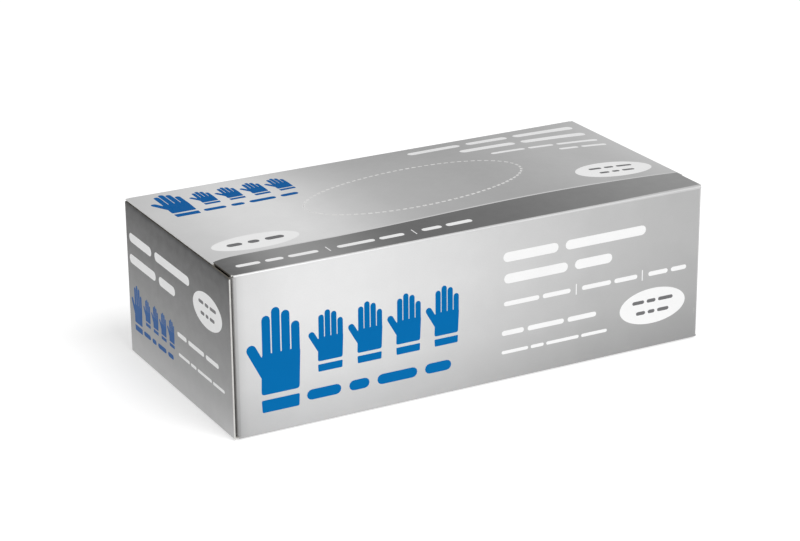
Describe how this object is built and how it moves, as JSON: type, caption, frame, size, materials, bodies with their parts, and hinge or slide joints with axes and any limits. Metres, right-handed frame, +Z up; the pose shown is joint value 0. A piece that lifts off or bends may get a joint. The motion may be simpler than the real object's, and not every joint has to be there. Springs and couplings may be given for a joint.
{
  "type": "glove box",
  "caption": "Paperboard dispenser carton of disposable gloves with a perforated tear-out oval in its bulging lid and glued, creased end flaps over dust flaps.",
  "frame": {"origin": "middle of the footprint, on the surface the carton stands on", "axes": "+X along the carton's length towards its right end, -Y out of the long front panel, +Z up through the lid"},
  "size_m": [0.24, 0.115, 0.0785],
  "materials": {
    "printed_board": "satin metallic ink over coated white paperboard",
    "raw_board": "uncoated inside face of paperboard",
    "hot_melt": "semi-gloss glue film",
    "glove_film": "matt nitrile film"
  },
  "bodies": {
    "carton": {"top_panel": "printed_board", "front_panel": "printed_board", "back_panel": "printed_board", "bottom_panel": "printed_board", "seam_flap": "raw_board", "seam_glue": "hot_melt", "glove_bundle_01": "glove_film", "glove_bundle_02": "glove_film", "glove_bundle_03": "glove_film", "glove_bundle_04": "glove_film", "glove_bundle_05": "glove_film", "glove_bundle_06": "glove_film", "glove_bundle_07": "glove_film", "glove_bundle_08": "glove_film", "glove_bundle_09": "glove_film", "glove_bundle_10": "glove_film", "glove_bundle_11": "glove_film", "glove_bundle_12": "glove_film", "glove_bundle_13": "glove_film", "glove_bundle_14": "glove_film", "glove_bundle_15": "glove_film", "glove_bundle_16": "glove_film", "glove_bundle_17": "glove_film", "glove_bundle_18": "glove_film", "glove_01": "glove_film", "glove_02": "glove_film", "glove_03": "glove_film", "glove_04": "glove_film", "glove_05": "glove_film", "glove_06": "glove_film", "glove_07": "glove_film", "glove_08": "glove_film", "glove_09": "glove_film", "glove_10": "glove_film"},
    "tear_out": {"tear_out_oval": "printed_board"},
    "left_outer": {"left_outer_flap": "printed_board"},
    "left_inner": {"left_inner_flap": "raw_board", "left_upper_glue": "hot_melt", "left_lower_glue": "hot_melt"},
    "left_front_dust": {"left_front_dust_flap": "raw_board"},
    "left_back_dust": {"left_back_dust_flap": "raw_board"},
    "right_outer": {"right_outer_flap": "printed_board"},
    "right_inner": {"right_inner_flap": "raw_board", "right_upper_glue": "hot_melt", "right_lower_glue": "hot_melt"},
    "right_front_dust": {"right_front_dust_flap": "raw_board"},
    "right_back_dust": {"right_back_dust_flap": "raw_board"}
  },
  "joints": [
    {"name": "tear_out_lift", "type": "slide", "parent": "carton", "child": "tear_out", "axis": [0, 0, 1], "range_m": [0, 0.06]},
    {"name": "left_outer_crease", "type": "hinge", "parent": "carton", "child": "left_outer", "pos_m": [-0.12, 0, 0], "axis": [0, -1, 0], "range_deg": [0, 90]},
    {"name": "left_inner_crease", "type": "hinge", "parent": "carton", "child": "left_inner", "pos_m": [-0.119, 0, 0.075], "axis": [0, 1, 0], "range_deg": [0, 90]},
    {"name": "left_front_dust_crease", "type": "hinge", "parent": "carton", "child": "left_front_dust", "pos_m": [-0.118, -0.0575, 0.0375], "axis": [0, 0, 1], "range_deg": [0, 45]},
    {"name": "left_back_dust_crease", "type": "hinge", "parent": "carton", "child": "left_back_dust", "pos_m": [-0.118, 0.0575, 0.0375], "axis": [0, 0, -1], "range_deg": [0, 45]},
    {"name": "right_outer_crease", "type": "hinge", "parent": "carton", "child": "right_outer", "pos_m": [0.12, 0, 0], "axis": [0, 1, 0], "range_deg": [0, 90]},
    {"name": "right_inner_crease", "type": "hinge", "parent": "carton", "child": "right_inner", "pos_m": [0.119, 0, 0.075], "axis": [0, -1, 0], "range_deg": [0, 90]},
    {"name": "right_front_dust_crease", "type": "hinge", "parent": "carton", "child": "right_front_dust", "pos_m": [0.118, -0.0575, 0.0375], "axis": [0, 0, -1], "range_deg": [0, 45]},
    {"name": "right_back_dust_crease", "type": "hinge", "parent": "carton", "child": "right_back_dust", "pos_m": [0.118, 0.0575, 0.0375], "axis": [0, 0, 1], "range_deg": [0, 45]}
  ],
  "couplings": [
    {"joint": "left_inner_crease", "follows": "left_outer_crease", "ratio": 1},
    {"joint": "left_front_dust_crease", "follows": "left_outer_crease", "ratio": 0.5},
    {"joint": "left_back_dust_crease", "follows": "left_outer_crease", "ratio": 0.5},
    {"joint": "right_inner_crease", "follows": "right_outer_crease", "ratio": 1},
    {"joint": "right_front_dust_crease", "follows": "right_outer_crease", "ratio": 0.5},
    {"joint": "right_back_dust_crease", "follows": "right_outer_crease", "ratio": 0.5}
  ]
}
